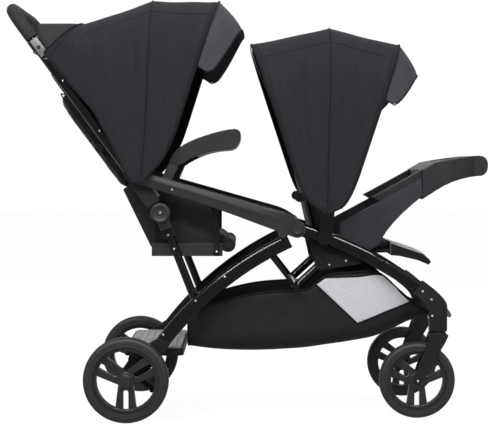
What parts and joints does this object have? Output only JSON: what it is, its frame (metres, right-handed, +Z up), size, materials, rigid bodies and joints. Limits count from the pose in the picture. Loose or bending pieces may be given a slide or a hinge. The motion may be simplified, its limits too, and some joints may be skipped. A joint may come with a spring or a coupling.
{
  "type": "tandem stroller",
  "caption": "Tandem stroller with two canopied seats one behind the other, a rear standing platform, child trays, a parent tray and a folding black tube frame.",
  "frame": {"origin": "centre of the bounding box's bottom, on the ground between the wheels", "axes": "+X forward, in the direction of travel, +Y to the left side, +Z up"},
  "size_m": [1.2353, 0.536, 1.0708],
  "materials": {
    "gloss_black_tube": "gloss",
    "steel": "satin",
    "charcoal_plastic": "matte",
    "dark_grey_plastic": "matte",
    "light_grey_plastic": "matte",
    "foam_tyre": "matte",
    "foam_grip": "matte",
    "charcoal_cloth": "matte",
    "grey_cloth": "matte",
    "black_cloth": "matte"
  },
  "bodies": {
    "base": {"rear_legs": "gloss_black_tube", "struts": "gloss_black_tube", "hinge_housings": "charcoal_plastic", "axle_brackets": "charcoal_plastic", "rear_axle": "steel", "platform_tray": "charcoal_plastic", "standing_plate": "light_grey_plastic", "link_bars": "gloss_black_tube", "seat_tubes": "gloss_black_tube", "basket": "black_cloth", "rear_seat_board": "charcoal_plastic", "rear_seat_cushion": "black_cloth", "seat_hangers": "black_cloth"},
    "handle": {"handle_tubes": "gloss_black_tube", "hinge_blocks": "charcoal_plastic", "handle_bar": "steel", "handle_grip": "foam_grip", "parent_tray": "charcoal_plastic", "rear_canopy": "charcoal_cloth", "rear_bow": "steel"},
    "side_link": {"side_panels": "charcoal_plastic"},
    "front": {"front_legs": "gloss_black_tube", "front_knuckles": "charcoal_plastic", "seat_brackets": "gloss_black_tube", "front_seat_board": "charcoal_plastic", "front_seat_cushion": "black_cloth", "footrest": "light_grey_plastic", "armrests": "dark_grey_plastic", "front_canopy": "charcoal_cloth", "front_bow": "steel"},
    "rear_wheel_left": {"rear_rim_left": "charcoal_plastic", "rear_tyre_left": "foam_tyre"},
    "rear_wheel_right": {"rear_rim_right": "charcoal_plastic", "rear_tyre_right": "foam_tyre"},
    "brake_left": {"brake_pedal_left": "charcoal_plastic"},
    "brake_right": {"brake_pedal_right": "charcoal_plastic"},
    "latch_left": {"fold_latch_left": "light_grey_plastic"},
    "latch_right": {"fold_latch_right": "light_grey_plastic"},
    "rear_backrest": {"rear_back": "charcoal_plastic", "rear_back_cushion": "black_cloth", "rear_pouch": "black_cloth"},
    "rear_middle_bow": {"rear_mid_bow": "steel"},
    "rear_hood_front": {"rear_front_bow": "steel", "rear_visor": "grey_cloth"},
    "lid": {"tray_lid": "charcoal_plastic"},
    "rear_child_tray": {"rear_tray": "charcoal_plastic"},
    "front_backrest": {"front_back": "charcoal_plastic", "front_back_cushion": "black_cloth"},
    "front_middle_bow": {"front_mid_bow": "steel"},
    "front_hood_front": {"front_front_bow": "steel", "front_visor": "grey_cloth"},
    "front_child_tray": {"front_tray": "charcoal_plastic"},
    "caster_left": {"caster_fork_left": "charcoal_plastic"},
    "caster_right": {"caster_fork_right": "charcoal_plastic"},
    "front_wheel_left": {"front_rim_left": "charcoal_plastic", "front_tyre_left": "foam_tyre"},
    "front_wheel_right": {"front_rim_right": "charcoal_plastic", "front_tyre_right": "foam_tyre"},
    "lock_left": {"swivel_lock_left": "light_grey_plastic"},
    "lock_right": {"swivel_lock_right": "light_grey_plastic"}
  },
  "joints": [
    {"name": "frame_fold", "type": "hinge", "parent": "base", "child": "handle", "pos_m": [-0.222, 0, 0.527], "axis": [0, 1, 0], "range_deg": [0, 50]},
    {"name": "link_turn", "type": "hinge", "parent": "handle", "child": "side_link", "pos_m": [-0.285, 0, 0.62], "axis": [0, 1, 0], "range_deg": [-50, 0], "deforming": ["seat_hangers"]},
    {"name": "front_fold", "type": "hinge", "parent": "base", "child": "front", "pos_m": [0.187, 0, 0.394], "axis": [0, 1, 0], "range_deg": [0, 50], "deforming": ["basket"]},
    {"name": "rear_recline", "type": "hinge", "parent": "handle", "child": "rear_backrest", "pos_m": [-0.25606, 0, 0.5566], "axis": [0, -1, 0], "range_deg": [-20, 0]},
    {"name": "rear_hood", "type": "hinge", "parent": "handle", "child": "rear_hood_front", "pos_m": [-0.285, 0, 0.62], "axis": [0, 1, 0], "range_deg": [-36, 0], "deforming": ["rear_canopy"]},
    {"name": "rear_hood_middle", "type": "hinge", "parent": "handle", "child": "rear_middle_bow", "pos_m": [-0.285, 0, 0.62], "axis": [0, 1, 0], "range_deg": [-20.16, 0]},
    {"name": "front_recline", "type": "hinge", "parent": "front", "child": "front_backrest", "pos_m": [0.182, 0, 0.44], "axis": [0, -1, 0], "range_deg": [-20, 0]},
    {"name": "front_hood", "type": "hinge", "parent": "front", "child": "front_hood_front", "pos_m": [0.202, 0, 0.535], "axis": [0, 1, 0], "range_deg": [-40, 0], "deforming": ["front_canopy"]},
    {"name": "front_hood_middle", "type": "hinge", "parent": "front", "child": "front_middle_bow", "pos_m": [0.202, 0, 0.535], "axis": [0, 1, 0], "range_deg": [-21.2, 0]},
    {"name": "tray_lid_hinge", "type": "hinge", "parent": "handle", "child": "lid", "pos_m": [-0.546, 0, 1.015], "axis": [0, 1, 0], "range_deg": [-100, 0]},
    {"name": "brake_left", "type": "hinge", "parent": "base", "child": "brake_left", "pos_m": [-0.28, 0.18, 0.105], "axis": [0, -1, 0], "range_deg": [-18, 0], "stiffness_Nm_per_rad": 1},
    {"name": "fold_latch_left", "type": "slide", "parent": "handle", "child": "latch_left", "axis": [0.5906, 0, -0.807], "range_m": [-0.012, 0], "stiffness_N_per_m": 300},
    {"name": "rear_wheel_left", "type": "hinge", "parent": "base", "child": "rear_wheel_left", "pos_m": [-0.307, 0.245, 0.108], "axis": [0, 1, 0], "continuous": true},
    {"name": "caster_left", "type": "hinge", "parent": "front", "child": "caster_left", "pos_m": [0.486, 0.17, 0.23], "axis": [0, 0, 1], "continuous": true},
    {"name": "front_wheel_left", "type": "hinge", "parent": "caster_left", "child": "front_wheel_left", "pos_m": [0.434, 0.17, 0.097], "axis": [0, 1, 0], "continuous": true},
    {"name": "swivel_lock_left", "type": "hinge", "parent": "front", "child": "lock_left", "pos_m": [0.5025, 0.17, 0.286], "axis": [0, 1, 0], "range_deg": [-25, 0]},
    {"name": "brake_right", "type": "hinge", "parent": "base", "child": "brake_right", "pos_m": [-0.28, -0.18, 0.105], "axis": [0, -1, 0], "range_deg": [-18, 0], "stiffness_Nm_per_rad": 1},
    {"name": "fold_latch_right", "type": "slide", "parent": "handle", "child": "latch_right", "axis": [0.5906, 0, -0.807], "range_m": [-0.012, 0], "stiffness_N_per_m": 300},
    {"name": "rear_wheel_right", "type": "hinge", "parent": "base", "child": "rear_wheel_right", "pos_m": [-0.307, -0.245, 0.108], "axis": [0, 1, 0], "continuous": true},
    {"name": "caster_right", "type": "hinge", "parent": "front", "child": "caster_right", "pos_m": [0.486, -0.17, 0.23], "axis": [0, 0, 1], "continuous": true},
    {"name": "front_wheel_right", "type": "hinge", "parent": "caster_right", "child": "front_wheel_right", "pos_m": [0.434, -0.17, 0.097], "axis": [0, 1, 0], "continuous": true},
    {"name": "swivel_lock_right", "type": "hinge", "parent": "front", "child": "lock_right", "pos_m": [0.5025, -0.17, 0.286], "axis": [0, 1, 0], "range_deg": [-25, 0]},
    {"name": "rear_tray_lift", "type": "slide", "parent": "side_link", "child": "rear_child_tray", "axis": [-0.4067, 0, -0.9135], "range_m": [-0.06, 0]},
    {"name": "front_tray_pull", "type": "slide", "parent": "front", "child": "front_child_tray", "axis": [-0.8988, 0, -0.4384], "range_m": [-0.07, 0]}
  ],
  "couplings": [
    {"joint": "link_turn", "follows": "frame_fold", "ratio": -1},
    {"joint": "front_fold", "follows": "frame_fold", "ratio": 1},
    {"joint": "rear_hood_middle", "follows": "rear_hood", "ratio": 0.56},
    {"joint": "front_hood_middle", "follows": "front_hood", "ratio": 0.53}
  ]
}
